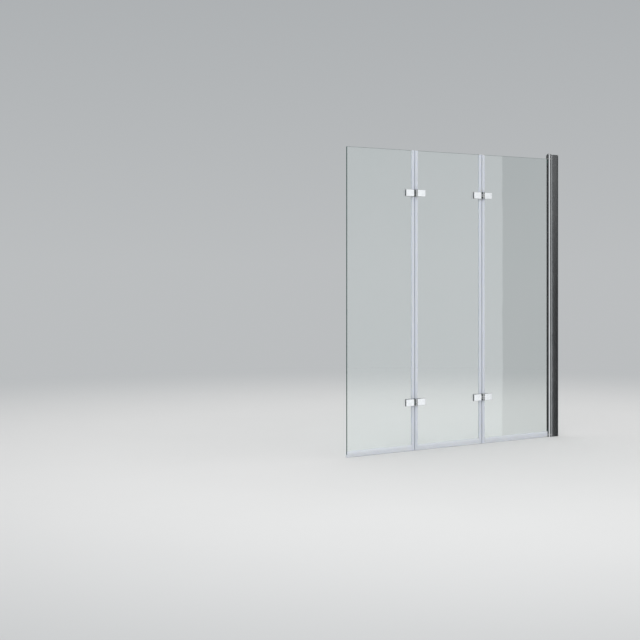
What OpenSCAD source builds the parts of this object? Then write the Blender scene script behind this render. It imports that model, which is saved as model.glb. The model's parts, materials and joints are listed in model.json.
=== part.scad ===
// Three-panel folding bath screen: glass panels on a wall pivot, for the rim of a bath.
// Frame: X = 0 is the wall, the screen runs to -X, -Y is the room side, +Y is over the bath,
// Z = 0 is the rim of the bath.

/* [Screen] */
// Distance from the wall to the free edge of the glass
total_w = 1340; // [1300:5:1400]
// Height of the top edge of the glass above the bath rim
glass_top = 1400; // [1340:10:1500]
// Height of the bottom edge of the glass above the bath rim
glass_bottom = 12; // [12:1:14]
// Thickness of the toughened glass
glass_t = 6; // [5:1:6]
// Distance from the wall to the fold between the wall and middle panels
first_fold = 518; // [510:1:530]
// Distance from the wall to the fold between the middle and outer panels
second_fold = 943; // [930:1:950]
// Gap from each fold line to the edge of the glass
fold_gap = 4; // [3.5:0.5:5]

/* [Wall profiles] */
// Height of the two wall profiles
profile_h = 1420; // [1420:1:1425]
// Outside width of the wall profile, seen from above
profile_w = 25; // [25:1:27]
// Wall thickness of the wall profile
profile_t = 1.9; // [1.6:0.1:1.9]
// Gap between the wall and the edges of the wall profile
profile_standoff = 8; // [5:1:12]
// Reach of the wall profile from the wall
profile_reach = 42.5; // [42:0.5:42.5]
// Depth of the channel that is screwed to the wall
channel_depth = 30; // [26:1:30]
// Wall thickness of the channel
channel_t = 1.6; // [1.4:0.1:1.6]
// Radius of the screw holes through the channel
wall_hole_r = 2.75; // [2.25:0.25:3]

/* [Pivot] */
// Distance from the wall to the axis of the pivot tube
pivot_x = 54; // [54:0.5:56]
// Outside diameter of the pivot tube
tube_d = 30; // [29:0.5:30]
// Wall thickness of the pivot tube
tube_t = 1.8; // [1.5:0.1:2]
// Height of the pivot tube's bottom end
tube_bottom = 14; // [13.5:0.5:16]
// Diameter of the two pivot pins
pivot_pin_d = 8; // [6:0.5:9]
// Height of the straight part of the domed cap
cap_h = 12; // [10:1:13]

/* [Hinges] */
// Height of the upper hinges
hinge_upper = 1202; // [1100:1:1250]
// Height of the lower hinges
hinge_lower = 226; // [150:1:300]
// Width of a hinge block on the room side
block_w = 50.2; // [42:0.1:52]
// Width of a hinge block on the bath side
back_block_w = 37; // [36:0.5:42]
// Height of one hinge block
block_h = 32; // [30:1:36]
// Distance from the middle of the glass to the face of a hinge block
block_face = 12.5; // [11.5:0.5:12.5]
// Distance from a fold line to a hinge block
block_gap = 9; // [8.8:0.1:10]
// Distance from the middle of the glass to the hinge pin
pin_offset = 15; // [15:0.5:16]
// Outside diameter of a hinge knuckle
knuckle_d = 13; // [12:0.5:13]
// Diameter of a hinge pin
hinge_pin_d = 6; // [5:0.5:7]
// Thickness of the clear pads between the blocks and the glass
pad_t = 1; // [0.8:0.1:1.2]
// Distance between the two screws of a hinge block
screw_pitch = 18; // [16:1:18]

/* [Seals] */
// Thickness of the seals' legs
seal_t = 1.2; // [1:0.1:1.4]
// Width of a fold seal, from the fold line
seal_reach = 19; // [17:0.5:20]
// Height of the drip seals above the bath rim
drip_top = 28; // [26:1:32]
// Reach of the drip seals' lip over the bath
drip_lip = 10; // [8:0.5:11]

/* [Hidden] */
$fn = 96;

// Colours
CHROME = [0.86, 0.87, 0.88];
CHANNEL = [0.20, 0.21, 0.22];
STEEL = [0.55, 0.56, 0.58];
GLASS = [0.70, 0.86, 0.83, 0.45];
PVC = [0.80, 0.83, 0.90, 0.85];
NYLON = [0.88, 0.88, 0.86];
RUBBER = [0.16, 0.17, 0.18];

// Fits
touch = 0.1;            // gap between pieces of one body that lie on each other
run = 0.05;             // radial clearance of a pin that turns in its hole
end_bevel = 0.6;        // bevel on the ends of the tube, the caps and the knuckles
cut = 1;                // how far a cutting shape runs past the face that it opens

// Glass and its edges
half_glass = glass_t / 2;
glass_corner_r = 2;
leaf_hole_r = 6;        // holes in the glass for the hinge screws

// Pivot
tube_r = tube_d / 2;
tube_bore_r = tube_r - tube_t;
tube_top = glass_top;
end_bore = 28;          // depth to which the tube's ends are bored out for the bushes
gasket_t = 1.5;
slot_half = half_glass + gasket_t + touch;
slot_rib_t = 1.4;       // thickness of the ribs that hold the glass inside the tube
glass_inset = 10;       // depth of the glass in the tube
tongue_x = pivot_x + tube_r - glass_inset;
flange_t = 0.9;
flange_r = tube_r - 0.4;
bush_h = 26;
pivot_pin_r = pivot_pin_d / 2;
pin_in_cap = 8;
pin_in_bush = 16;
cap_bottom = tube_top + flange_t + 2 * touch;
arm_half = 8.4;         // half width of the arms that join the caps to the wall profile
arm_end = 12;           // distance from the wall to the end of an arm
arm_h = 15;
foot_h = tube_bottom - flange_t - 2 * touch;

// Wall profiles
profile_half = profile_w / 2;
crown = 0.1;            // rise of the profile's slightly rounded faces
crown_flats = 9;        // odd number of flat strips that a rounded face is drawn with
profile_edge_r = 0.8;
leg_inside = profile_half - profile_t;
channel_half = leg_inside - touch;
channel_inside = channel_half - channel_t;
channel_web = 2;
web_x = 34;             // distance from the wall to the wall profile's web
web_t = 2;
web_bottom = foot_h + touch;
web_top = cap_bottom - touch;
outer_holes = 1200;     // distance between the outer two wall screws
inner_holes = 400;      // distance between the inner two wall screws
holes_z = 710;          // height of the middle of the row of wall screws
profile_screw_x = 19;
profile_screw_z = [200, 710, 1220];
profile_screw_r = 2;
bearing_screw_z = [foot_h / 2, cap_bottom + arm_h / 2];
cover_t = 1.6;          // thickness of the cover on the wall profile's top end
plug_half = 8.3;        // half width of the plug that holds the cover
plug_h = 14;

// Hinges: x runs away from the fold line, y away from the middle of the glass
block_back = half_glass + pad_t + touch;
half_block = block_h / 2;
edge_r = 0.9;           // radius of the blocks' edges
knuckle_r = knuckle_d / 2;
hinge_pin_r = hinge_pin_d / 2;
washer_t = 0.8;
washer_gap = washer_t + 2 * touch;
mid_knuckle = 9;        // height of the middle knuckle
arm_back = 8;           // back and front of a knuckle's arm where it meets its block
arm_front = 10;
cover_groove = 0.8;     // depth of the grooves between the parts of a gap cover
cover_core_end = 2;     // distance from a gap cover's end to the core that joins its parts
pin_head_r = 4.6;
pin_head_t = 1;
hinge_screw_r = 2.5;
screw_head_r = 4.6;
screw_head_t = 2.4;
screw_tip = block_face - 3;
socket_r = 1.7;
screw_inset = 6;        // distance from a screw to the end of a block on the bath side
screw_far = block_gap + back_block_w - screw_inset;
screw_x = [screw_far - screw_pitch, screw_far];
hinge_z = [hinge_lower, hinge_upper];

// Seals
leg_in = half_glass + touch;
leg_out = leg_in + seal_t;
fold_clear = 0.4;       // gap from the fold line to a fold seal
bulb_r = 2.3;
bulb_bore_r = 1.1;
seal_bottom = 1.5;
seal_break = half_block + 1;
drip_bulb_r = 4;
drip_bulb_bore_r = 3;
drip_bulb_z = 7.4;
fin_t = 1;
drip_gap = 0.6;         // gap between a drip seal and the fold seal beside it

// ---------------------------------------------------------------- shared shapes

// Rectangle with rounded corners
module rounded_rect(x0, x1, y0, y1, r) {
    translate([x0 + r, y0])
        square([x1 - x0 - 2 * r, y1 - y0]);
    translate([x0, y0 + r])
        square([x1 - x0, y1 - y0 - 2 * r]);
    for (x = [x0 + r, x1 - r], y = [y0 + r, y1 - r])
        translate([x, y])
            circle(r);
}

// Block with all edges rounded
module soft_block(x0, x1, y0, y1, z0, z1, r) {
    intersection() {
        translate([0, 0, z0])
            linear_extrude(z1 - z0)
                rounded_rect(x0, x1, y0, y1, r);
        translate([0, y1, 0])
            rotate([90, 0, 0])
                linear_extrude(y1 - y0)
                    rounded_rect(x0, x1, z0, z1, r);
        translate([x0, 0, 0])
            rotate([90, 0, 90])
                linear_extrude(x1 - x0)
                    rounded_rect(y0, y1, z0, z1, r);
    }
}

// Upright cylinder with bevelled ends
module bevelled_rod(r, h) {
    cylinder(r1 = r - end_bevel, r2 = r, h = end_bevel);
    translate([0, 0, end_bevel])
        cylinder(r = r, h = h - 2 * end_bevel);
    translate([0, 0, h - end_bevel])
        cylinder(r1 = r, r2 = r - end_bevel, h = end_bevel);
}

// Cylinder along +Y from y0 to y1
module rod_y(r, y0, y1) {
    translate([0, y1, 0])
        rotate([90, 0, 0])
            cylinder(r = r, h = y1 - y0);
}

// Upright prism between two heights
module upright(z0, z1) {
    translate([0, 0, z0])
        linear_extrude(z1 - z0)
            children();
}

// ---------------------------------------------------------------- wall fixing

module wall_channel() {
    color(CHANNEL)
        difference() {
            translate([-channel_depth, -channel_half, 0])
                cube([channel_depth, 2 * channel_half, profile_h - 2]);
            translate([-channel_depth - cut, -channel_inside, -cut])
                cube([channel_depth - channel_web + cut, 2 * channel_inside, profile_h + 2 * cut]);
            for (pitch = [outer_holes, inner_holes], side = [-1, 1])
                translate([-channel_web - cut, 0, holes_z + side * pitch / 2])
                    rotate([0, 90, 0])
                        cylinder(r = wall_hole_r, h = channel_web + 2 * cut);
            for (z = profile_screw_z)
                translate([-profile_screw_x, 0, z])
                    rod_y(profile_screw_r + touch, 0, channel_half + cut);
        }
}

// Section of one leg of the wall profile, with a slightly rounded outer face
module profile_leg() {
    middle = -(profile_reach + profile_standoff) / 2;
    half = (profile_reach - profile_standoff) / 2 + cut;
    face = [
        for (i = [-crown_flats:2:crown_flats]) [
            middle + half * i / crown_flats,
            profile_half - crown * pow((abs(i) - 1) / (crown_flats - 1), 2)
        ]
    ];
    intersection() {
        rounded_rect(-profile_reach, -profile_standoff, leg_inside, profile_half, profile_edge_r);
        polygon(concat(face, [[middle + half, 0], [middle - half, 0]]));
    }
}

module wall_profile() {
    color(CHROME)
        difference() {
            union() {
                for (side = [0, 1])
                    mirror([0, side, 0])
                        upright(0, profile_h)
                            profile_leg();
                translate([-web_x - web_t, -leg_inside - 0.2, web_bottom])
                    cube([web_t, 2 * leg_inside + 0.4, web_top - web_bottom]);
            }
            for (z = profile_screw_z)
                translate([-profile_screw_x, 0, z])
                    rod_y(profile_screw_r + touch, 0, profile_half + cut);
            for (z = bearing_screw_z)
                translate([-web_x, 0, z])
                    rod_y(profile_screw_r + touch, 0, profile_half + cut);
        }
}

// Screw with a flat head that lies on the profile's bath side
module side_screw(tip_y) {
    rod_y(profile_screw_r, tip_y, profile_half + touch);
    rod_y(3.4, profile_half + touch, profile_half + touch + 1.2);
}

module profile_screws() {
    color(STEEL)
        for (z = profile_screw_z)
            translate([-profile_screw_x, 0, z])
                side_screw(channel_inside - 1);
}

// Snap-on cover over a profile screw
module profile_screw_caps() {
    color(CHROME)
        for (z = profile_screw_z)
            translate([-profile_screw_x, profile_half + touch, z])
                rotate([-90, 0, 0])
                    difference() {
                        intersection() {
                            cylinder(r = 5.2, h = 2.4);
                            translate([0, 0, -6.2])
                                sphere(8.6);
                        }
                        translate([0, 0, -cut])
                            cylinder(r = 3.6, h = cut + 1.4);
                    }
}

module bearing_screws() {
    color(STEEL)
        for (z = bearing_screw_z)
            translate([-web_x, 0, z])
                side_screw(1);
}

// Arm from a bearing cap into the wall profile, with the hole for its screw
module cap_arm(z0, h) {
    difference() {
        translate([-pivot_x, -arm_half, z0])
            cube([pivot_x - arm_end, 2 * arm_half, h]);
        translate([-web_x, 0, z0 + h / 2])
            rod_y(profile_screw_r + touch, 0.8, arm_half + cut);
    }
}

// Cover on the top end of the wall profile, with a plug inside the channel
module profile_top_cover() {
    color(CHROME) {
        difference() {
            upright(profile_h + touch, profile_h + touch + cover_t)
                rounded_rect(-profile_reach, -touch, -profile_half, profile_half, profile_edge_r);
            translate([-pivot_x, 0, profile_h])
                cylinder(r = tube_r + 0.4, h = cover_t + cut);
        }
        translate([touch - arm_end, -plug_half, profile_h - plug_h])
            cube([arm_end - channel_web - 2 * touch, 2 * plug_half, plug_h + touch]);
    }
}

module pivot_socket(z0) {
    translate([-pivot_x, 0, z0])
        cylinder(r = pivot_pin_r + touch, h = pin_in_cap + cut);
}

module top_bearing_cap() {
    color(CHROME)
        difference() {
            union() {
                translate([-pivot_x, 0, cap_bottom])
                    cylinder(r1 = tube_r - end_bevel, r2 = tube_r, h = end_bevel);
                translate([-pivot_x, 0, cap_bottom + end_bevel])
                    cylinder(r = tube_r, h = cap_h - end_bevel);
                translate([-pivot_x, 0, cap_bottom + cap_h])
                    intersection() {
                        sphere(tube_r);
                        cylinder(r = tube_r + cut, h = tube_r + cut);
                    }
                cap_arm(cap_bottom, arm_h);
            }
            pivot_socket(cap_bottom - cut);
        }
}

module bottom_bearing_cap() {
    color(CHROME)
        difference() {
            union() {
                translate([-pivot_x, 0, 0])
                    cylinder(r = tube_r, h = foot_h - end_bevel);
                translate([-pivot_x, 0, foot_h - end_bevel])
                    cylinder(r1 = tube_r, r2 = tube_r - end_bevel, h = end_bevel);
                cap_arm(0, foot_h);
            }
            pivot_socket(foot_h - pin_in_cap);
        }
}

// Steel pin between a bearing cap and the bush in the tube's end
module pivot_pin(z0) {
    color(STEEL)
        translate([-pivot_x, 0, z0])
            cylinder(r = pivot_pin_r, h = pin_in_cap + pin_in_bush);
}

module top_pivot_pin() {
    pivot_pin(cap_bottom - pin_in_bush - touch);
}

module bottom_pivot_pin() {
    pivot_pin(foot_h - pin_in_cap + touch);
}

// Rubber strip that closes the gap between the wall profile and the turning tube
module tube_gap_seal() {
    color(RUBBER)
        upright(web_bottom + 1, web_top - 1)
            difference() {
                translate([-web_x - web_t - 2.6, -4])
                    square([2.5, 8]);
                translate([-pivot_x, 0])
                    circle(tube_r + 0.4);
            }
}

// ---------------------------------------------------------------- wall panel

// Section of the pivot tube's wall
module tube_ring() {
    difference() {
        circle(tube_r);
        circle(tube_bore_r);
    }
}

// Section of the ribs that hold the glass inside the tube, before the slot is cut
module tube_ribs() {
    intersection() {
        circle(tube_bore_r + 0.2);
        translate([-tube_r, -slot_half - slot_rib_t])
            square([glass_inset + touch + slot_rib_t, 2 * (slot_half + slot_rib_t)]);
    }
}

// Cutter that bevels the outer edge of a tube end at Z = 0
module end_cutter() {
    difference() {
        translate([0, 0, -cut])
            cylinder(r = tube_r + 2 * cut, h = end_bevel + 2 * cut);
        translate([0, 0, -2 * cut])
            cylinder(r1 = tube_r - end_bevel - 2 * cut, r2 = tube_r + 2 * cut, h = end_bevel + 4 * cut);
    }
}

// Tube with a slot for the glass, which stops short of the tube's ends
module pivot_tube() {
    color(CHROME)
        translate([-pivot_x, 0, 0])
            difference() {
                union() {
                    upright(tube_bottom, tube_top)
                        tube_ring();
                    upright(tube_bottom + end_bore, tube_top - end_bore)
                        tube_ribs();
                }
                upright(tube_bottom + end_bore, tube_top - end_bore)
                    translate([-tube_r - cut, -slot_half])
                        square([glass_inset + touch + cut, 2 * slot_half]);
                translate([0, 0, tube_bottom])
                    end_cutter();
                translate([0, 0, tube_top])
                    mirror([0, 0, 1])
                        end_cutter();
            }
}

// Nylon bush in an end of the tube: a flange, a plug, and the pin's bore
module bush() {
    color(NYLON)
        difference() {
            union() {
                cylinder(r = flange_r, h = flange_t);
                cylinder(r = tube_bore_r - touch, h = bush_h);
            }
            translate([0, 0, -cut])
                cylinder(r = pivot_pin_r + run, h = pin_in_bush + 3 * cut);
        }
}

module top_bush() {
    translate([-pivot_x, 0, tube_top + flange_t])
        mirror([0, 0, 1])
            bush();
}

module bottom_bush() {
    translate([-pivot_x, 0, tube_bottom - flange_t])
        bush();
}

// Rubber strip between the glass and one side of the tube's slot
module slot_gasket(side) {
    color(RUBBER)
        mirror([0, side, 0])
            upright(tube_bottom + end_bore + 1, tube_top - end_bore - 1)
                translate([-pivot_x - tube_r - 0.6, half_glass + touch / 2])
                    square([glass_inset, gasket_t]);
}

module room_side_gasket() {
    slot_gasket(1);
}

module bath_side_gasket() {
    slot_gasket(0);
}

// ---------------------------------------------------------------- glass panels

// Plate of glass from x0 to x1, both measured from the wall
module pane(x0, x1, z0, z1) {
    translate([0, half_glass, 0])
        rotate([90, 0, 0])
            linear_extrude(glass_t)
                rounded_rect(-x1, -x0, z0, z1, glass_corner_r);
}

// Holes for the hinge screws beside one fold; toward_wall is 1 for the panel on the wall's side
module hinge_holes(fold, toward_wall) {
    for (z = hinge_z, x = screw_x)
        translate([-fold + (toward_wall ? x : -x), 0, z])
            rod_y(leaf_hole_r, -half_glass - cut, half_glass + cut);
}

module wall_glass() {
    color(GLASS)
        difference() {
            union() {
                pane(pivot_x + tube_r + 1, first_fold - fold_gap, glass_bottom, glass_top);
                pane(tongue_x, pivot_x + tube_r + 6, tube_bottom + end_bore + 1, tube_top - end_bore - 1);
            }
            hinge_holes(first_fold, true);
        }
}

module middle_glass() {
    color(GLASS)
        difference() {
            pane(first_fold + fold_gap, second_fold - fold_gap, glass_bottom, glass_top);
            hinge_holes(first_fold, false);
            hinge_holes(second_fold, true);
        }
}

module outer_glass() {
    color(GLASS)
        difference() {
            pane(second_fold + fold_gap, total_w, glass_bottom, glass_top);
            hinge_holes(second_fold, false);
        }
}

// ---------------------------------------------------------------- seals

// Section of a fold seal: a channel for the edge of the glass with a hollow bulb on it
module fold_seal_section() {
    difference() {
        union() {
            translate([fold_clear + bulb_r, -leg_out])
                square([seal_reach - fold_clear - bulb_r, 2 * leg_out]);
            translate([fold_clear + bulb_r, 0])
                circle(bulb_r);
        }
        translate([fold_gap - touch, -leg_in])
            square([seal_reach, 2 * leg_in]);
        translate([fold_clear + 0.8 + bulb_bore_r, 0])
            circle(bulb_bore_r);
    }
}

// Seal beside a fold, in three lengths that leave the hinges free
module fold_seal(fold, toward_wall) {
    lengths = [
        [seal_bottom, hinge_lower - seal_break],
        [hinge_lower + seal_break, hinge_upper - seal_break],
        [hinge_upper + seal_break, glass_top]
    ];
    color(PVC)
        translate([-fold, 0, 0])
            mirror([toward_wall ? 0 : 1, 0, 0])
                for (ends = lengths)
                    upright(ends[0], ends[1])
                        fold_seal_section();
}

// Section of a drip seal: a channel for the glass, a hollow bulb, a fin and a lip over the bath
module drip_seal_section() {
    difference() {
        union() {
            translate([-leg_out, glass_bottom - touch - seal_t])
                square([2 * leg_out, drip_top - glass_bottom + touch + seal_t]);
            translate([0, drip_bulb_z])
                circle(drip_bulb_r);
            translate([-fin_t - 1.4, 0.5])
                square([fin_t, drip_bulb_z - 1]);
            polygon([
                [2, drip_bulb_z - 1],
                [drip_lip, 1.6],
                [drip_lip, 2.8],
                [3, drip_bulb_z + 2]
            ]);
        }
        translate([-leg_in, glass_bottom - touch])
            square([2 * leg_in, drip_top]);
        translate([0, drip_bulb_z])
            circle(drip_bulb_bore_r);
    }
}

// Drip seal from x0 to x1, both measured from the wall
module drip_seal(x0, x1) {
    color(PVC)
        translate([-x1, 0, 0])
            rotate([90, 0, 90])
                linear_extrude(x1 - x0)
                    drip_seal_section();
}

module wall_glass_fold_seal() {
    fold_seal(first_fold, true);
}

module wall_glass_drip_seal() {
    drip_seal(pivot_x + tube_r + 1.5, first_fold - seal_reach - drip_gap);
}

module middle_glass_first_fold_seal() {
    fold_seal(first_fold, false);
}

module middle_glass_second_fold_seal() {
    fold_seal(second_fold, true);
}

module middle_glass_drip_seal() {
    drip_seal(first_fold + seal_reach + drip_gap, second_fold - seal_reach - drip_gap);
}

module outer_glass_fold_seal() {
    fold_seal(second_fold, false);
}

module outer_glass_drip_seal() {
    drip_seal(second_fold + seal_reach + drip_gap, total_w);
}

// ---------------------------------------------------------------- hinges

// Puts a hinge piece in place. Hinge 1 has its pin on the room side, hinge 2 on the bath side.
// A piece is drawn beside the fold with its pin on +Y, and mirrored to the side that it is on.
module at_hinge(number, z, toward_wall) {
    translate([number == 1 ? -first_fold : -second_fold, 0, z])
        mirror([toward_wall ? 0 : 1, 0, 0])
            mirror([0, number == 1 ? 1 : 0, 0])
                children();
}

// Heights of a knuckle: the wall side has the two end knuckles, the free side the middle one
function knuckle_spans(toward_wall) =
    toward_wall
    ? [[-half_block, -mid_knuckle / 2 - washer_gap], [mid_knuckle / 2 + washer_gap, half_block]]
    : [[-mid_knuckle / 2, mid_knuckle / 2]];

function block_width(bath_side) = bath_side ? back_block_w : block_w;

// Block with two screw holes: through it on the bath side, with recesses for the heads, or else blind
module hinge_block(bath_side) {
    x1 = block_gap + block_width(bath_side);
    difference() {
        soft_block(block_gap, x1, block_back, block_face, -half_block, half_block, edge_r);
        for (x = screw_x)
            translate([x, 0, 0]) {
                rod_y(hinge_screw_r + touch, 0, bath_side ? block_face + cut : screw_tip + 1);
                if (bath_side)
                    rod_y(screw_head_r + touch, block_face - screw_head_t - touch, block_face + cut);
            }
    }
}

// One knuckle, and the arm that slopes down from it to its block
module knuckle(span) {
    upright(span[0], span[1])
        polygon([
            [0, arm_back],
            [block_gap + edge_r + cut, arm_back],
            [block_gap + edge_r + cut, arm_front],
            [block_gap, arm_front],
            [0, block_face]
        ]);
    translate([0, pin_offset, span[0]])
        bevelled_rod(knuckle_r, span[1] - span[0]);
}

// Block with knuckles, on the pin's side of the glass
module hinge_leaf(toward_wall, bath_side) {
    color(CHROME)
        difference() {
            union() {
                hinge_block(bath_side);
                for (span = knuckle_spans(toward_wall))
                    knuckle(span);
            }
            translate([0, pin_offset, -half_block - cut])
                cylinder(r = hinge_pin_r + run, h = block_h + 2 * cut);
        }
}

// Block that clamps the other face of the glass. Its gap cover is a fixed copy of the knuckles.
module hinge_plate(bath_side, gap_cover) {
    color(CHROME)
        mirror([0, 1, 0]) {
            hinge_block(bath_side);
            if (gap_cover) {
                for (span = concat(knuckle_spans(true), knuckle_spans(false)))
                    knuckle(span);
                translate([0, pin_offset, -half_block + cover_core_end])
                    cylinder(r = knuckle_r - cover_groove, h = block_h - 2 * cover_core_end);
            }
        }
}

// Pin through the knuckles, with a flat head at each end
module hinge_pin() {
    color(STEEL)
        translate([0, pin_offset, 0]) {
            cylinder(r = hinge_pin_r, h = block_h + 2 * run, center = true);
            for (side = [0, 1])
                mirror([0, 0, side])
                    translate([0, 0, half_block + run])
                        cylinder(r1 = pin_head_r, r2 = pin_head_r - 0.6, h = pin_head_t);
        }
}

// Nylon washers between the knuckles
module hinge_washers(number) {
    color(NYLON)
        for (z = hinge_z, side = [-1, 1])
            at_hinge(number, z, true)
                translate([0, pin_offset, side * (mid_knuckle + washer_gap) / 2])
                    difference() {
                        cylinder(r = knuckle_r - 0.3, h = washer_t, center = true);
                        cylinder(r = hinge_pin_r + run, h = washer_t + 2 * cut, center = true);
                    }
}

// Clear pads on both faces of the glass; the pads on the pin's side have collars in the glass holes
module hinge_pads(number, toward_wall) {
    color(PVC)
        for (z = hinge_z, side = [0, 1])
            at_hinge(number, z, toward_wall)
                mirror([0, side, 0])
                    difference() {
                        union() {
                            translate([block_gap + 0.6, half_glass + touch / 2, 0.6 - half_block])
                                cube([block_width(number == 2 - side) - 1.2, pad_t, block_h - 1.2]);
                            if (side == 0)
                                for (x = screw_x)
                                    translate([x, 0, 0])
                                        rod_y(leaf_hole_r - touch, -half_glass, half_glass + touch);
                        }
                        for (x = screw_x)
                            translate([x, 0, 0])
                                rod_y(hinge_screw_r + touch, -block_face, block_face);
                    }
}

// Socket screws through the blocks on the bath side, into the blocks on the room side
module hinge_screws(number, toward_wall) {
    color(STEEL)
        for (z = hinge_z, x = screw_x)
            at_hinge(number, z, toward_wall)
                mirror([0, number == 1 ? 0 : 1, 0])
                    translate([x, 0, 0])
                        difference() {
                            union() {
                                rod_y(hinge_screw_r, -block_face + 1, screw_tip);
                                rod_y(screw_head_r, touch - block_face, screw_head_t - block_face);
                            }
                            translate([0, -block_face - cut, 0])
                                rotate([-90, 0, 0])
                                    cylinder(r = socket_r, h = cut + 1.8, $fn = 6);
                        }
}

// On the bath side, with the screw heads, are the plates of hinge 1 and the leaves of hinge 2
module leaf_at(number, z, toward_wall) {
    at_hinge(number, z, toward_wall)
        hinge_leaf(toward_wall, number == 2);
}

// From the room, the gap cover makes hinge 2 look like hinge 1
module plate_at(number, z, toward_wall) {
    at_hinge(number, z, toward_wall)
        hinge_plate(number == 1, number == 2 && toward_wall);
}

module pin_at(number, z) {
    at_hinge(number, z, true)
        hinge_pin();
}

// ---------------------------------------------------------------- the nodes

wall_channel();
wall_profile();
profile_screws();
profile_screw_caps();
top_bearing_cap();
bottom_bearing_cap();
top_pivot_pin();
bottom_pivot_pin();
bearing_screws();
profile_top_cover();
tube_gap_seal();
pivot_tube();
top_bush();
bottom_bush();
room_side_gasket();
bath_side_gasket();
wall_glass();
wall_glass_fold_seal();
wall_glass_drip_seal();
middle_glass();
middle_glass_first_fold_seal();
middle_glass_second_fold_seal();
middle_glass_drip_seal();
outer_glass();
outer_glass_fold_seal();
outer_glass_drip_seal();
leaf_at(1, hinge_upper, true);  // hinge_1_upper_leaf_wall_side
leaf_at(1, hinge_upper, false);  // hinge_1_upper_leaf_free_side
plate_at(1, hinge_upper, true);  // hinge_1_upper_plate_wall_side
plate_at(1, hinge_upper, false);  // hinge_1_upper_plate_free_side
pin_at(1, hinge_upper);  // hinge_1_upper_pin
leaf_at(1, hinge_lower, true);  // hinge_1_lower_leaf_wall_side
leaf_at(1, hinge_lower, false);  // hinge_1_lower_leaf_free_side
plate_at(1, hinge_lower, true);  // hinge_1_lower_plate_wall_side
plate_at(1, hinge_lower, false);  // hinge_1_lower_plate_free_side
pin_at(1, hinge_lower);  // hinge_1_lower_pin
hinge_washers(1);  // hinge_1_washers
hinge_pads(1, true);  // hinge_1_pads_wall_side
hinge_pads(1, false);  // hinge_1_pads_free_side
hinge_screws(1, true);  // hinge_1_screws_wall_side
hinge_screws(1, false);  // hinge_1_screws_free_side
leaf_at(2, hinge_upper, true);  // hinge_2_upper_leaf_wall_side
leaf_at(2, hinge_upper, false);  // hinge_2_upper_leaf_free_side
plate_at(2, hinge_upper, true);  // hinge_2_upper_plate_wall_side
plate_at(2, hinge_upper, false);  // hinge_2_upper_plate_free_side
pin_at(2, hinge_upper);  // hinge_2_upper_pin
leaf_at(2, hinge_lower, true);  // hinge_2_lower_leaf_wall_side
leaf_at(2, hinge_lower, false);  // hinge_2_lower_leaf_free_side
plate_at(2, hinge_lower, true);  // hinge_2_lower_plate_wall_side
plate_at(2, hinge_lower, false);  // hinge_2_lower_plate_free_side
pin_at(2, hinge_lower);  // hinge_2_lower_pin
hinge_washers(2);  // hinge_2_washers
hinge_pads(2, true);  // hinge_2_pads_wall_side
hinge_pads(2, false);  // hinge_2_pads_free_side
hinge_screws(2, true);  // hinge_2_screws_wall_side
hinge_screws(2, false);  // hinge_2_screws_free_side
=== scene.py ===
import json
from math import atan2, cos, pi, radians, sin

import bmesh
import bpy
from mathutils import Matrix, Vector


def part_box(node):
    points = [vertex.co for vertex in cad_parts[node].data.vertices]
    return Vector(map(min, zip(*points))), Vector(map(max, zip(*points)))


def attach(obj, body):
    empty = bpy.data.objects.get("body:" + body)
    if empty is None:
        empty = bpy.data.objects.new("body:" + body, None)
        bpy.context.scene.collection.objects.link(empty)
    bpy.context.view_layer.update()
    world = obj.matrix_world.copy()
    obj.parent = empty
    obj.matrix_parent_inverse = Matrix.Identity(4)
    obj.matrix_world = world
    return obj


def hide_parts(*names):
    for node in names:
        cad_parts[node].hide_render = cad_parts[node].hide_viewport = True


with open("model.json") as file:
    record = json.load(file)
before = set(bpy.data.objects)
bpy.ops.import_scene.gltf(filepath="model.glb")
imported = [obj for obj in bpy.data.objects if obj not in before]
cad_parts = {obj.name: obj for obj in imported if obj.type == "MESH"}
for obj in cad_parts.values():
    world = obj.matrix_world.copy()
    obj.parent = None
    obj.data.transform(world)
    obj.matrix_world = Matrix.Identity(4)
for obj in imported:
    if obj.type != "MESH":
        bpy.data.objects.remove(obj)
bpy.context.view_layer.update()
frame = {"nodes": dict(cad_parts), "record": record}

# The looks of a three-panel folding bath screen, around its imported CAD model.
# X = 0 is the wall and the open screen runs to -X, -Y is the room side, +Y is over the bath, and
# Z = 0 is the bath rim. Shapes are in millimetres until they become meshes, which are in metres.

NODES = frame["nodes"]
MM = 0.001
SHARP_ANGLE = radians(32)

# ---------------------------------------------------------------- sizes, in millimetres

FIRST_FOLD = 518
SECOND_FOLD = 943
GLASS_BOTTOM = 12
GLASS_TOP = 1400
HALF_GLASS = 3
GLASS_CORNER_R = 2
GLASS_CORNER_STEPS = 5
ARRIS = 0.7             # width of the polished arris along the edges of the glass
ARRIS_STEPS = 4
FOLD_GAP = 4            # from a fold line to the edge of the glass
HINGE_HOLE_R = 6
HOLE_STEPS = 40
SCREW_HEAD_R = 4.6
TUBE_EDGE = 70          # from the wall to the edge of the glass beside the pivot tube
TONGUE_END = 59         # from the wall to the edge of the glass inside the tube
TONGUE_Z = (43, 1371)
TOUCH = 0.1

SEAL_IN = HALF_GLASS + TOUCH
SEAL_WALL = 1.2
SEAL_OUT = SEAL_IN + SEAL_WALL
SEAL_REACH = 19         # from a fold line to the free edge of a fold seal
SEAL_BOTTOM = 1.5
SEAL_LIP = 3.5          # length of the tapered lip at the end of a seal's leg
HINGE_Z = (226, 1202)
SEAL_BREAK = 17         # from the middle of a hinge to the cut ends of the fold seals
BULB_R = 2.3
BULB_X = 2.7            # from a fold line to the bulb's middle and to the start of the channel
BULB_BORE = (2.3, 1.1)  # place of its middle, from the fold line, and radius
DRIP_TOP = 28
DRIP_BULB_Z = 7.4
DRIP_BULB_R = 4
DRIP_BORE_R = 3
SEAL_CORNER_R = 0.8
ARC_STEPS = {
    "corner": 5, "half_bulb": 18, "part_bulb": 12, "short_bulb": 5, "bore": 20, "drip_bore": 28,
}
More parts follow.
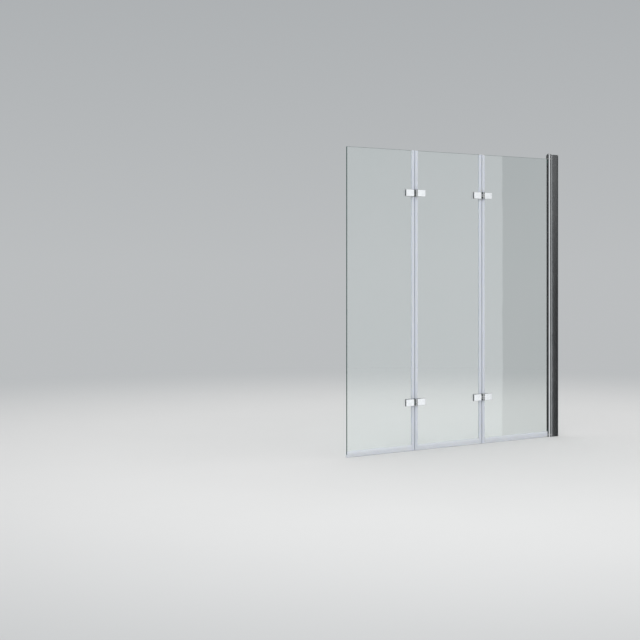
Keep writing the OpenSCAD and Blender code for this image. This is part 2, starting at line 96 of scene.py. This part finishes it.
# The tapered end of a leg: how far back from its end, and how far out from its inner face.
FOLD_LEG_END = ((0.6, 0.65), (0.15, 0.45), (0, 0.25), (0.1, 0.05), (0.4, 0))
DRIP_LEG_END = ((0.6, 0.65), (0.12, 0.45), (0, 0.2), (0.3, 0))
# The small lip on the room side of a drip seal's bulb, and the fin on its bath side, as y and z.
DRIP_LIP = (
    (-2.75, 3.6), (-2.55, 2.2), (-2.65, 0.9), (-2.45, 0.6), (-2.1, 0.5),
    (-1.75, 0.65), (-1.65, 1.2), (-1.6, 2.4), (-1.55, 3.3),
)
DRIP_FIN = (
    (5.6, 3.85), (7.8, 2.55), (9.5, 1.75), (9.85, 1.75), (10.0, 2.0),
    (9.9, 2.4), (8.0, 3.65), (6.2, 5.1), (4.7, 6.9), (3.95, 8.3),
)

# ---------------------------------------------------------------- camera and stage

CAMERA_PLACE = (-5.1446, -4.9750, 0.8713)
CAMERA_YAW = 36.31      # degrees from +Y towards +X
CAMERA_LENS = 78.29
CAMERA_SENSOR = 36
CAMERA_SHIFT_Y = -0.0877
SCREEN_MIDDLE = Vector((-0.67, 0, 0.7))
FLOOR_Z = -0.0005
FLOOR_HALF = 9
FLOOR_FADE = (1.6, 5.0)  # distances at which the floor starts and ends to turn into the backdrop

FLOOR_COLOUR = (0.76, 0.765, 0.765)
FLOOR_PATCHES = 1.01     # the floor's lighter patches against its colour
BACKDROP_LOW = (0.50, 0.515, 0.525)
BACKDROP_HIGH = (0.37, 0.39, 0.405)
BACKDROP_RISE = 0.32     # height of the view direction at which the backdrop has its upper colour
SKY_LIGHT = 0.85
KEY_POWER = 60
KEY_SIZE = 2.6
KEY_PLACE = (-3.4, -3.2, 3.6)

# What polished metal and glass mirror round the horizon, by azimuth in degrees from +X: a dim
# room with a brightness at each of these azimuths, which changes evenly in between.
ROOM = (
    (-180, 0.10), (-145, 0.09), (-90, 0.12), (-60, 0.12), (-46.5, 0.085), (-42, 0.027),
    (-15, 0.07), (20, 0.11), (80, 0.13), (130, 0.07), (179, 0.10),
)
# Bright panels stand in it: first azimuth, last azimuth, width of their soft ends, brightness.
PANELS = (
    (-144, -110.5, 2, 1.0),
    (-56.5, -46.2, 0.04, 1.06),
    (-39, -9, 5, 0.30),
    (26, 50, 8, 0.85),
)
# Between the second and the third of them, the room gets lighter with the direction's height.
GLOW_PLACE = (-46.2, -38, 1.5)  # first azimuth, last azimuth, width of its soft ends
GLOW_RISE = (-0.03, 0.09)       # heights of the direction at which it starts and is strongest
GLOW_STRENGTH = 0.45            # its largest share
GLOW_VALUE = 0.25
MIRRORED_TINT = (0.97, 1.0, 1.015)
ZENITH = (0.90, 0.97, 0.70)   # from and to this height of the direction, and brightness
GROUND = (-0.18, -0.30, 0.45)


# ---------------------------------------------------------------- node helpers

NOISE_RANGE = (0.3, 0.7)  # most of a noise's factor lies between these values


def new_tree(owner):
    """The empty node tree of a material or world."""
    owner.use_nodes = True
    owner.node_tree.nodes.clear()
    return owner.node_tree


def add(tree, kind, values=None, **settings):
    """A new node with these settings, and with its inputs set by name or number."""
    node = tree.nodes.new(kind)
    for name, value in settings.items():
        setattr(node, name, value)
    for name, value in (values or {}).items():
        node.inputs[name].default_value = value
    return node


def join(tree, start, end):
    tree.links.new(start, end)


def grey(value):
    return (value, value, value, 1)


def opaque(colour):
    return (*colour, 1)


def noise(tree, scale, detail=3, stretch=(1, 1, 1)):
    """The factor of a noise in object space, scale in cells per metre, stretched along the axes."""
    place = add(tree, "ShaderNodeTexCoord")
    mapping = add(tree, "ShaderNodeMapping", {"Scale": stretch})
    join(tree, place.outputs["Object"], mapping.inputs["Vector"])
    texture = add(tree, "ShaderNodeTexNoise", {"Scale": scale, "Detail": detail})
    join(tree, mapping.outputs["Vector"], texture.inputs["Vector"])
    return texture.outputs["Fac"]


def spread(tree, factor, low, high, source=NOISE_RANGE):
    """A factor mapped to a value between low and high."""
    values = {"From Min": source[0], "From Max": source[1], "To Min": low, "To Max": high}
    node = add(tree, "ShaderNodeMapRange", values, clamp=True)
    join(tree, factor, node.inputs["Value"])
    return node.outputs["Result"]


def shade(tree, factor, low, high):
    """The factor of a noise mapped to a colour between low and high."""
    node = add(tree, "ShaderNodeValToRGB")
    ends = node.color_ramp.elements
    ends[0].position, ends[1].position = NOISE_RANGE
    ends[0].color, ends[1].color = opaque(low), opaque(high)
    join(tree, factor, node.inputs["Fac"])
    return node.outputs["Color"]


def relief(tree, factor, depth):
    """A bump from a factor, depth metres deep."""
    node = add(tree, "ShaderNodeBump", {"Strength": 1, "Distance": depth})
    join(tree, factor, node.inputs["Height"])
    return node.outputs["Normal"]


def finish_material(tree, shader):
    output = add(tree, "ShaderNodeOutputMaterial")
    join(tree, shader, output.inputs["Surface"])


def surface(name, values, colour, roughness, normal):
    """A material of one Principled shader with these links and plain values."""
    material = bpy.data.materials.new(name)
    tree = new_tree(material)
    shader = add(tree, "ShaderNodeBsdfPrincipled", values)
    join(tree, colour(tree), shader.inputs["Base Color"])
    join(tree, roughness(tree), shader.inputs["Roughness"])
    join(tree, normal(tree), shader.inputs["Normal"])
    finish_material(tree, shader.outputs["BSDF"])
    return material


# ---------------------------------------------------------------- materials

def drawn_chrome():
    """Chrome on an upright extrusion: bright, with faint die lines and a little polishing haze."""
    def lines(tree):
        return noise(tree, 900, 2, (1, 1, 0.004))

    return surface(
        "drawn_chrome",
        {"Metallic": 1},
        lambda tree: shade(tree, noise(tree, 14), (0.74, 0.75, 0.765), (0.82, 0.83, 0.84)),
        lambda tree: spread(tree, lines(tree), 0.04, 0.07),
        lambda tree: relief(tree, lines(tree), 0.0000015),
    )


def cast_chrome():
    """Chrome on polished castings: bright, with a faint orange peel and rubbed patches."""
    return surface(
        "cast_chrome",
        {"Metallic": 1},
        lambda tree: shade(tree, noise(tree, 60), (0.78, 0.785, 0.80), (0.86, 0.865, 0.875)),
        lambda tree: spread(tree, noise(tree, 240, 4), 0.03, 0.08),
        lambda tree: relief(tree, noise(tree, 420, 2), 0.0000025),
    )


def anodised():
    """Anodised aluminium with fine drawing lines along its length; its dark colour is painted shade of
    the narrow gap between the wall profile and the wall, where the channel shows.
    """
    def lines(tree):
        return noise(tree, 1400, 3, (1, 1, 0.003))

    return surface(
        "anodised",
        {"Metallic": 1},
        # dark colour: painted shade of the gap between the wall profile and the wall
        lambda tree: shade(tree, lines(tree), (0.10, 0.105, 0.11), (0.16, 0.165, 0.17)),
        lambda tree: spread(tree, lines(tree), 0.24, 0.38),
        lambda tree: relief(tree, lines(tree), 0.00001),
    )


def steel():
    """Turned stainless steel, satin."""
    return surface(
        "turned_steel",
        {"Metallic": 1},
        lambda tree: shade(tree, noise(tree, 500), (0.42, 0.425, 0.43), (0.56, 0.565, 0.57)),
        lambda tree: spread(tree, noise(tree, 1500, 2), 0.20, 0.34),
        lambda tree: relief(tree, noise(tree, 2200, 2), 0.000008),
    )


def nylon():
    """Natural white nylon with a fine moulded grain."""
    return surface(
        "nylon",
        {"Subsurface Weight": 0.15, "Subsurface Radius": (0.002, 0.002, 0.0016)},
        lambda tree: shade(tree, noise(tree, 180), (0.70, 0.70, 0.67), (0.77, 0.77, 0.745)),
        lambda tree: spread(tree, noise(tree, 900), 0.42, 0.58),
        lambda tree: relief(tree, noise(tree, 1600), 0.00002),
    )


def rubber():
    """Dark rubber, matte, with bloom in places."""
    return surface(
        "dark_rubber",
        {},
        lambda tree: shade(tree, noise(tree, 130, 5), (0.012, 0.012, 0.013), (0.030, 0.030, 0.032)),
        lambda tree: spread(tree, noise(tree, 700), 0.55, 0.75),
        lambda tree: relief(tree, noise(tree, 1800), 0.00003),
    )


def clear_pvc(name, stretch, low, high):
    """Soft PVC, bluish and half clear, with flow lines along the strip."""
    def lines(tree):
        return noise(tree, 700, 3, stretch)

    return surface(
        name,
        {"Alpha": 0.74, "IOR": 1.53, "Subsurface Weight": 0.25,
         "Subsurface Radius": (0.003, 0.0032, 0.004)},
        lambda tree: shade(tree, lines(tree), low, high),
        lambda tree: spread(tree, noise(tree, 90, 4, stretch), 0.20, 0.34),
        lambda tree: relief(tree, lines(tree), 0.00004),
    )


def clear_glass():
    """Clear toughened glass. Lamps pass straight through it, so that it throws only a faint shadow."""
    material = bpy.data.materials.new("clear_glass_face")
    tree = new_tree(material)
    values = {"Transmission Weight": 1, "IOR": 1.5}
    shader = add(tree, "ShaderNodeBsdfPrincipled", values)
    tint = shade(tree, noise(tree, 3, 2), (0.925, 0.963, 0.954), (0.94, 0.97, 0.963))
    join(tree, tint, shader.inputs["Base Color"])
    join(tree, spread(tree, noise(tree, 5, 4), 0.0, 0.012), shader.inputs["Roughness"])
    join(tree, relief(tree, noise(tree, 6, 1), 0.00003), shader.inputs["Normal"])
    passing = add(tree, "ShaderNodeBsdfTransparent", {"Color": (0.92, 0.96, 0.95, 1)})
    path = add(tree, "ShaderNodeLightPath")
    mix = add(tree, "ShaderNodeMixShader")
    join(tree, path.outputs["Is Shadow Ray"], mix.inputs["Fac"])
    join(tree, shader.outputs["BSDF"], mix.inputs[1])
    join(tree, passing.outputs["BSDF"], mix.inputs[2])
    finish_material(tree, mix.outputs["Shader"])
    return material


def glass_edge():
    """The ground and polished edge of the glass, dark green from the depth of glass behind it."""
    return surface(
        "glass_edge",
        {"IOR": 1.5, "Transmission Weight": 0.1},
        lambda tree: shade(tree, noise(tree, 60, 3), (0.007, 0.050, 0.040), (0.018, 0.088, 0.072)),
        lambda tree: spread(tree, noise(tree, 1200), 0.10, 0.20),
        lambda tree: relief(tree, noise(tree, 1500, 2), 0.00001),
    )


# The seals' colours, from and to. The soft bulb of a fold seal has a darker colour: painted shade of
# the groove between the seals at a fold.
CHANNEL_PVC = ((0.76, 0.80, 0.875), (0.84, 0.875, 0.94))
# The drip seals' colour is lighter than the fold seals': painted light for the bright band along their
# top.
LIT_DRIP_PVC = ((0.82, 0.855, 0.92), (0.89, 0.92, 0.965))
SHADED_BULB_PVC = ((0.50, 0.53, 0.585), (0.58, 0.61, 0.67))

MATERIALS = {
    "drawn_chrome": drawn_chrome(),
    "cast_chrome": cast_chrome(),
    # the channel's dark colour is painted shade of the gap by the wall
    "anodised_channel": anodised(),
    "stainless_steel": steel(),
    "nylon": nylon(),
    "dark_rubber": rubber(),
    "upright_pvc": clear_pvc("upright_pvc", (1, 1, 0.004), *CHANNEL_PVC),
    # the bulbs' darker colour is painted shade of the groove between the seals at a fold
    "shaded_bulb_pvc": clear_pvc("shaded_bulb_pvc", (1, 1, 0.004), *SHADED_BULB_PVC),
    # the drip seals' lighter colour is painted light for the bright band along their top
    "lit_level_pvc": clear_pvc("lit_level_pvc", (0.004, 1, 1), *LIT_DRIP_PVC),
    "clear_glass": clear_glass(),
    "glass_edge": glass_edge(),
}
DRAWN_NODES = ("pivot_tube", "wall_profile")


def dress_nodes():
    """Gives every CAD node the material of its slot."""
    slots = {part["node"]: part["material_slot"] for part in frame["record"]["subparts"]}
    by_slot = {
        "bright_chrome": "cast_chrome",
        "clear_pvc": "upright_pvc",
    }
    for name, node in NODES.items():
        key = "drawn_chrome" if name in DRAWN_NODES else by_slot.get(slots[name], slots[name])
        node.data.materials.clear()
        node.data.materials.append(MATERIALS[key])


# ---------------------------------------------------------------- mesh helpers

def arc(middle, radius, start, end, steps):
    """Points on an arc, its angles in degrees."""
    angles = [radians(start + (end - start) * i / steps) for i in range(steps + 1)]
    return [Vector((middle[0] + radius * cos(a), middle[1] + radius * sin(a))) for a in angles]


def points(*pairs):
    return [Vector(pair) for pair in pairs]


def circle(middle, radius, steps):
    """A hole's outline, clockwise."""
    return arc(middle, radius, 0, -360 + 360 / steps, steps - 1)


def rounded(corners, radius):
    """An anticlockwise outline of upright and level lines with its outer corners rounded."""
    outline = []
    for i, corner in enumerate(corners):
        to_last = (corners[i - 1] - corner).normalized()
        to_next = (corners[(i + 1) % len(corners)] - corner).normalized()
        if to_last.cross(to_next) > 0:
            outline.append(corner)
            continue
        middle = corner + (to_last + to_next) * radius
        start = atan2(-to_next.y, -to_next.x) * 180 / pi
        outline += arc(middle, radius, start, start + 90, GLASS_CORNER_STEPS)
    return outline


def inset(outline, distance):
    """The closed outline moved to its left, which is into the solid."""
    moved = []
    for i, here in enumerate(outline):
        arriving = (here - outline[i - 1]).normalized()
        leaving = (outline[(i + 1) % len(outline)] - here).normalized()
        left = Vector((-arriving.y, arriving.x))
        middle = (left + Vector((-leaving.y, leaving.x))).normalized()
        moved.append(here + middle * (distance / middle.dot(left)))
    return moved


def ring(mesh, outline, place):
    """Vertices of an outline, each put in space by place."""
    return [mesh.verts.new(Vector(place(point)) * MM) for point in outline]


def bridge(mesh, first, second, slot):
    """Smooth quads between two rings."""
    for i in range(len(first)):
        face = mesh.faces.new((first[i - 1], first[i], second[i], second[i - 1]))
        face.material_index = slot
        face.smooth = True


def cap(mesh, rings):
    """A flat face over outlines, the first of which goes round the others."""
    edges = [mesh.edges.get((loop[i - 1], loop[i])) for loop in rings for i in range(len(loop))]
    filled = bmesh.ops.triangle_fill(mesh, use_beauty=True, edges=edges)["geom"]
    for face in filled:
        if isinstance(face, bmesh.types.BMFace):
            face.smooth = False


def to_object(mesh, name, materials):
    """A scene object of a finished mesh, creased along its sharp edges."""
    bmesh.ops.recalc_face_normals(mesh, faces=mesh.faces)
    for edge in mesh.edges:
        edge.smooth = edge.calc_face_angle() < SHARP_ANGLE
    data = bpy.data.meshes.new(name)
    mesh.to_mesh(data)
    mesh.free()
    for material in materials:
        data.materials.append(MATERIALS[material])
    piece = bpy.data.objects.new(name, data)
    bpy.context.scene.collection.objects.link(piece)
    return piece


# ---------------------------------------------------------------- glass

def arris_rings():
    """How far in from the outline, and how far from the middle plane, each ring of an edge is."""
    rings = [(0.0, HALF_GLASS - ARRIS)]
    for step in range(1, ARRIS_STEPS + 1):
        angle = pi / 2 * step / ARRIS_STEPS
        rings.append((ARRIS * (1 - cos(angle)), HALF_GLASS - ARRIS + ARRIS * sin(angle)))
    back = [(depth, -side) for depth, side in reversed(rings)]
    return back + rings


def pane(name, body, node, outline, hole_middles):
    """A sheet of glass with polished edges in place of a CAD node."""
    mesh = bmesh.new()
    loops = [outline] + [circle(middle, HINGE_HOLE_R, HOLE_STEPS) for middle in hole_middles]
    faces = {-HALF_GLASS: [], HALF_GLASS: []}
    for loop in loops:
        last = None
        for depth, side in arris_rings():
            here = ring(mesh, inset(loop, depth), lambda p: (p.x, side, p.y))
            if last is not None:
                bridge(mesh, last, here, 1)
            last = here
            if abs(side) == HALF_GLASS:
                faces[side].append(here)
    for rings in faces.values():
        cap(mesh, rings)
    piece = to_object(mesh, name, ("clear_glass", "glass_edge"))
    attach(piece, body)
    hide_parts(node)


def hole_middles(*screw_nodes):
    """The middles of the holes for these nodes' screws: two in a row at the height of each hinge."""
    middles = []
    for node in screw_nodes:
        low, high = (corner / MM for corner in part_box(node))
        for x in (low.x + SCREW_HEAD_R, high.x - SCREW_HEAD_R):
            middles += [(x, z) for z in HINGE_Z]
    return middles


def rectangle(x0, x1):
    corners = points((x0, GLASS_BOTTOM), (x1, GLASS_BOTTOM), (x1, GLASS_TOP), (x0, GLASS_TOP))
    return rounded(corners, GLASS_CORNER_R)


def wall_pane_outline():
    """The wall panel's glass, with the tongue that stands in the tube's slot."""
    x0, x1 = FOLD_GAP - FIRST_FOLD, -TUBE_EDGE
    corners = points(
        (x0, GLASS_BOTTOM), (x1, GLASS_BOTTOM), (x1, TONGUE_Z[0]), (-TONGUE_END, TONGUE_Z[0]),
        (-TONGUE_END, TONGUE_Z[1]), (x1, TONGUE_Z[1]), (x1, GLASS_TOP), (x0, GLASS_TOP),
    )
    return rounded(corners, GLASS_CORNER_R)


def make_glass():
    free_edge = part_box("outer_glass")[0].x / MM
    pane("wall_pane", "wall_panel", "wall_glass", wall_pane_outline(),
         hole_middles("hinge_1_screws_wall_side"))
    pane("middle_pane", "middle_panel", "middle_glass",
         rectangle(FOLD_GAP - SECOND_FOLD, -FIRST_FOLD - FOLD_GAP),
         hole_middles("hinge_1_screws_free_side", "hinge_2_screws_wall_side"))
    pane("outer_pane", "outer_panel", "outer_glass",
         rectangle(free_edge, -SECOND_FOLD - FOLD_GAP),
         hole_middles("hinge_2_screws_free_side"))


# ---------------------------------------------------------------- seals

def fold_section():
    """Section of a fold seal, x away from the fold line: a channel with soft lips, and a bulb."""
    leg_end = points((SEAL_REACH - SEAL_LIP, SEAL_OUT))
    leg_end += points(*((SEAL_REACH - back, SEAL_IN + out) for back, out in FOLD_LEG_END))
    inside = FOLD_GAP - TOUCH
    corner_x, corner_y = BULB_X + SEAL_CORNER_R, SEAL_OUT - SEAL_CORNER_R
    outer = arc((corner_x, -corner_y), SEAL_CORNER_R, 180, 270, ARC_STEPS["corner"])
    outer += [Vector((p.x, -p.y)) for p in leg_end]
    outer += points((inside, -SEAL_IN), (inside, SEAL_IN))
    outer += reversed(leg_end)
    outer += arc((corner_x, corner_y), SEAL_CORNER_R, 90, 180, ARC_STEPS["corner"])
    outer += arc((BULB_X, 0), BULB_R, 90, 270, ARC_STEPS["half_bulb"])
    return [outer, circle((BULB_BORE[0], 0), BULB_BORE[1], ARC_STEPS["bore"])]


def drip_section():
    """Section of a drip seal, y to the bath and z up: a channel, a bulb, a fin and a drip lip."""
    bulb = (0, DRIP_BULB_Z)
    floor = GLASS_BOTTOM - TOUCH
    leg_end = points((SEAL_OUT, DRIP_TOP - SEAL_LIP))
    leg_end += points(*((SEAL_IN + out, DRIP_TOP - back) for back, out in DRIP_LEG_END))
    corner_y, corner_z = SEAL_OUT - SEAL_CORNER_R, floor - SEAL_WALL + SEAL_CORNER_R
    outer = arc((-corner_y, corner_z), SEAL_CORNER_R, 180, 270, ARC_STEPS["corner"])
    outer += arc(bulb, DRIP_BULB_R, 127, 218, ARC_STEPS["part_bulb"])
    outer += points(*DRIP_LIP)
    outer += arc(bulb, DRIP_BULB_R, 249, 331, ARC_STEPS["part_bulb"])
    outer += points(*DRIP_FIN)
    outer += arc(bulb, DRIP_BULB_R, 20, 53, ARC_STEPS["short_bulb"])
    outer += arc((corner_y, corner_z), SEAL_CORNER_R, 270, 360, ARC_STEPS["corner"])
    outer += leg_end
    outer += points((SEAL_IN, floor), (-SEAL_IN, floor))
    outer += [Vector((-p.x, p.y)) for p in reversed(leg_end)]
    return [outer, circle(bulb, DRIP_BORE_R, ARC_STEPS["drip_bore"])]


def strip(mesh, section, ends, place):
    """A closed length of a section; place puts a point of the section at one of the ends."""
    caps = {end: [] for end in ends}
    for loop in section:
        start, stop = (ring(mesh, loop, lambda p: place(p, end)) for end in ends)
        bridge(mesh, start, stop, 0)
        caps[ends[0]].append(start)
        caps[ends[1]].append(stop)
    for rings in caps.values():
        cap(mesh, rings)


def fold_seal(name, body, node, fold, side):
    """Three lengths of seal on the edge of the glass beside a fold; side is 1 towards the wall.

    The faces that are nearer to the fold than the channel are the bulb's, whose darker colour is
    painted shade of the groove between the seals.
    """
    mesh = bmesh.new()
    lengths = (
        (SEAL_BOTTOM, HINGE_Z[0] - SEAL_BREAK),
        (HINGE_Z[0] + SEAL_BREAK, HINGE_Z[1] - SEAL_BREAK),
        (HINGE_Z[1] + SEAL_BREAK, GLASS_TOP),
    )
    for ends in lengths:
        strip(mesh, fold_section(), ends, lambda p, z: (side * p.x - fold, p.y, z))
    for face in mesh.faces:
        from_fold = side * (face.calc_center_median().x / MM + fold)
        # bulb faces get the darker PVC, painted shade of the groove at the fold
        face.material_index = 1 if from_fold < BULB_X - TOUCH else 0
    piece = to_object(mesh, name, ("upright_pvc", "shaded_bulb_pvc"))
    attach(piece, body)
    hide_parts(node)


def drip_seal(name, body, node, x0, x1):
    """The seal under a pane."""
    mesh = bmesh.new()
    strip(mesh, drip_section(), (x0, x1), lambda p, x: (x, p.x, p.y))
    piece = to_object(mesh, name, ("lit_level_pvc",))
    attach(piece, body)
    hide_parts(node)


def make_seals():
    fold_seal("wall_pane_fold_seal", "wall_panel", "wall_glass_fold_seal", FIRST_FOLD, 1)
    fold_seal("middle_pane_first_fold_seal", "middle_panel", "middle_glass_first_fold_seal",
              FIRST_FOLD, -1)
    fold_seal("middle_pane_second_fold_seal", "middle_panel", "middle_glass_second_fold_seal",
              SECOND_FOLD, 1)
    fold_seal("outer_pane_fold_seal", "outer_panel", "outer_glass_fold_seal", SECOND_FOLD, -1)
    for panel in ("wall", "middle", "outer"):
        node = panel + "_glass_drip_seal"
        low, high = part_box(node)
        drip_seal(panel + "_pane_drip_seal", panel + "_panel", node, low.x / MM, high.x / MM)


# ---------------------------------------------------------------- stage

def make_camera():
    data = bpy.data.cameras.new("camera")
    data.lens = CAMERA_LENS
    data.sensor_width = CAMERA_SENSOR
    data.shift_y = CAMERA_SHIFT_Y
    camera = bpy.data.objects.new("camera", data)
    camera.location = CAMERA_PLACE
    camera.rotation_euler = (pi / 2, 0, -radians(CAMERA_YAW))
    bpy.context.scene.collection.objects.link(camera)
    bpy.context.scene.camera = camera


def floor_material():
    """A pale matt floor that turns into the backdrop's colour with distance.

    A ray that has been mirrored passes through it, also if it crosses glass on its way, because the
    world shows such rays its own ground.
    """
    material = bpy.data.materials.new("floor")
    tree = new_tree(material)
    near = add(tree, "ShaderNodeBsdfPrincipled", {"Roughness": 0.85, "Specular IOR Level": 0.1})
    patches = [value * FLOOR_PATCHES for value in FLOOR_COLOUR]
    colour = shade(tree, noise(tree, 2, 3), FLOOR_COLOUR, patches)
    join(tree, colour, near.inputs["Base Color"])
    far = add(tree, "ShaderNodeEmission", {"Color": opaque(BACKDROP_LOW)})
    place = add(tree, "ShaderNodeNewGeometry")
    away = add(tree, "ShaderNodeVectorMath", operation="DISTANCE")
    away.inputs[1].default_value = (SCREEN_MIDDLE.x, SCREEN_MIDDLE.y, FLOOR_Z)
    join(tree, place.outputs["Position"], away.inputs[0])
    fade = add(tree, "ShaderNodeMapRange", interpolation_type="SMOOTHSTEP")
    fade.inputs["From Min"].default_value, fade.inputs["From Max"].default_value = FLOOR_FADE
    join(tree, away.outputs["Value"], fade.inputs["Value"])
    mix = add(tree, "ShaderNodeMixShader")
    join(tree, fade.outputs["Result"], mix.inputs["Fac"])
    join(tree, near.outputs["BSDF"], mix.inputs[1])
    join(tree, far.outputs["Emission"], mix.inputs[2])
    path = add(tree, "ShaderNodeLightPath")
    unseen = add(tree, "ShaderNodeMixShader")
    join(tree, path.outputs["Glossy Depth"], unseen.inputs["Fac"])
    join(tree, mix.outputs["Shader"], unseen.inputs[1])
    join(tree, add(tree, "ShaderNodeBsdfTransparent").outputs["BSDF"], unseen.inputs[2])
    finish_material(tree, unseen.outputs["Shader"])
    return material


def make_floor():
    mesh = bmesh.new()
    bmesh.ops.create_grid(mesh, x_segments=8, y_segments=8, size=FLOOR_HALF)
    data = bpy.data.meshes.new("floor")
    mesh.to_mesh(data)
    mesh.free()
    data.materials.append(floor_material())
    floor = bpy.data.objects.new("floor", data)
    floor.location = (SCREEN_MIDDLE.x, SCREEN_MIDDLE.y, FLOOR_Z)
    bpy.context.scene.collection.objects.link(floor)


def make_lamp():
    data = bpy.data.lights.new("key", "AREA")
    data.energy = KEY_POWER
    data.size = KEY_SIZE
    lamp = bpy.data.objects.new("key", data)
    lamp.location = KEY_PLACE
    aim = SCREEN_MIDDLE - lamp.location
    lamp.rotation_euler = aim.to_track_quat("-Z", "Y").to_euler()
    lamp.visible_glossy = False
    bpy.context.scene.collection.objects.link(lamp)


def mirrored_surroundings(tree, direction):
    """The colour that mirrors show: a dim room with bright panels, a soft top light, pale ground."""
    parts = add(tree, "ShaderNodeSeparateXYZ")
    join(tree, direction, parts.inputs["Vector"])
    angle = add(tree, "ShaderNodeMath", operation="ARCTAN2")
    join(tree, parts.outputs["Y"], angle.inputs[0])
    join(tree, parts.outputs["X"], angle.inputs[1])
    azimuth = angle.outputs["Value"]
    ramp = add(tree, "ShaderNodeValToRGB")
    elements = ramp.color_ramp.elements
    while len(elements) < len(ROOM):
        elements.new(1)
    for element, (degrees, value) in zip(elements, ROOM):
        element.position = (degrees + 180) / 360
        element.color = panel_colour(value)
    join(tree, spread(tree, azimuth, 0, 1, (-pi, pi)), ramp.inputs["Fac"])
    colour = ramp.outputs["Color"]
    for first, last, soft, value in PANELS:
        amount = between(tree, azimuth, first, last, soft)
        colour = blend_colours(tree, amount, colour, panel_colour(value))
    height = spread(tree, parts.outputs["Z"], 0, GLOW_STRENGTH, GLOW_RISE)
    amount = product(tree, between(tree, azimuth, *GLOW_PLACE), height)
    colour = blend_colours(tree, amount, colour, panel_colour(GLOW_VALUE))
    for start, end, value in (ZENITH, GROUND):
        amount = spread(tree, parts.outputs["Z"], 0, 1, (start, end))
        colour = blend_colours(tree, amount, colour, grey(value))
    return colour


def between(tree, azimuth, first, last, soft):
    """1 between two azimuths in degrees, with soft ends inside them, and 0 elsewhere."""
    rise = spread(tree, azimuth, 0, 1, (radians(first), radians(first + soft)))
    fall = spread(tree, azimuth, 1, 0, (radians(last - soft), radians(last)))
    return product(tree, rise, fall)


def product(tree, first, second):
    node = add(tree, "ShaderNodeMath", operation="MULTIPLY")
    join(tree, first, node.inputs[0])
    join(tree, second, node.inputs[1])
    return node.outputs["Value"]


def panel_colour(value):
    return opaque([value * tint for tint in MIRRORED_TINT])


def blend_colours(tree, amount, first, second):
    """first where amount is 0, second where it is 1; each is a socket or a plain colour."""
    node = add(tree, "ShaderNodeMix", data_type="RGBA")
    join(tree, amount, node.inputs["Factor"])
    for name, value in (("A", first), ("B", second)):
        socket = next(s for s in node.inputs if s.name == name and s.type == "RGBA")
        if isinstance(value, tuple):
            socket.default_value = value
        else:
            join(tree, value, socket)
    return next(s for s in node.outputs if s.type == "RGBA")


def make_world():
    """Plain soft light, a pale backdrop for the camera and through the glass, and panels in mirrors.

    A ray that leaves the glass shows what it has met on its way: the backdrop if it only passed
    through, the mirrored surroundings if the glass or metal mirrored it, the soft light if it comes
    from a matt surface.
    """
    world = bpy.data.worlds.new("studio")
    bpy.context.scene.world = world
    tree = new_tree(world)
    direction = add(tree, "ShaderNodeTexCoord").outputs["Generated"]
    path = add(tree, "ShaderNodeLightPath")
    height = add(tree, "ShaderNodeSeparateXYZ")
    join(tree, direction, height.inputs["Vector"])
    rise = spread(tree, height.outputs["Z"], 0, 1, (0, BACKDROP_RISE))
    backdrop = blend_colours(tree, rise, opaque(BACKDROP_LOW), opaque(BACKDROP_HIGH))
    mirrored = mirrored_surroundings(tree, direction)
    through = blend_colours(tree, path.outputs["Glossy Depth"], backdrop, mirrored)
    through = blend_colours(tree, path.outputs["Diffuse Depth"], through, grey(SKY_LIGHT))
    colour = blend_colours(tree, path.outputs["Is Glossy Ray"], grey(SKY_LIGHT), mirrored)
    colour = blend_colours(tree, path.outputs["Is Transmission Ray"], colour, through)
    colour = blend_colours(tree, path.outputs["Is Camera Ray"], colour, backdrop)
    background = add(tree, "ShaderNodeBackground")
    join(tree, colour, background.inputs["Color"])
    output = add(tree, "ShaderNodeOutputWorld")
    join(tree, background.outputs["Background"], output.inputs["Surface"])


dress_nodes()
make_glass()
make_seals()
make_camera()
make_floor()
make_lamp()
make_world()
bpy.context.scene.view_settings.view_transform = "Standard"
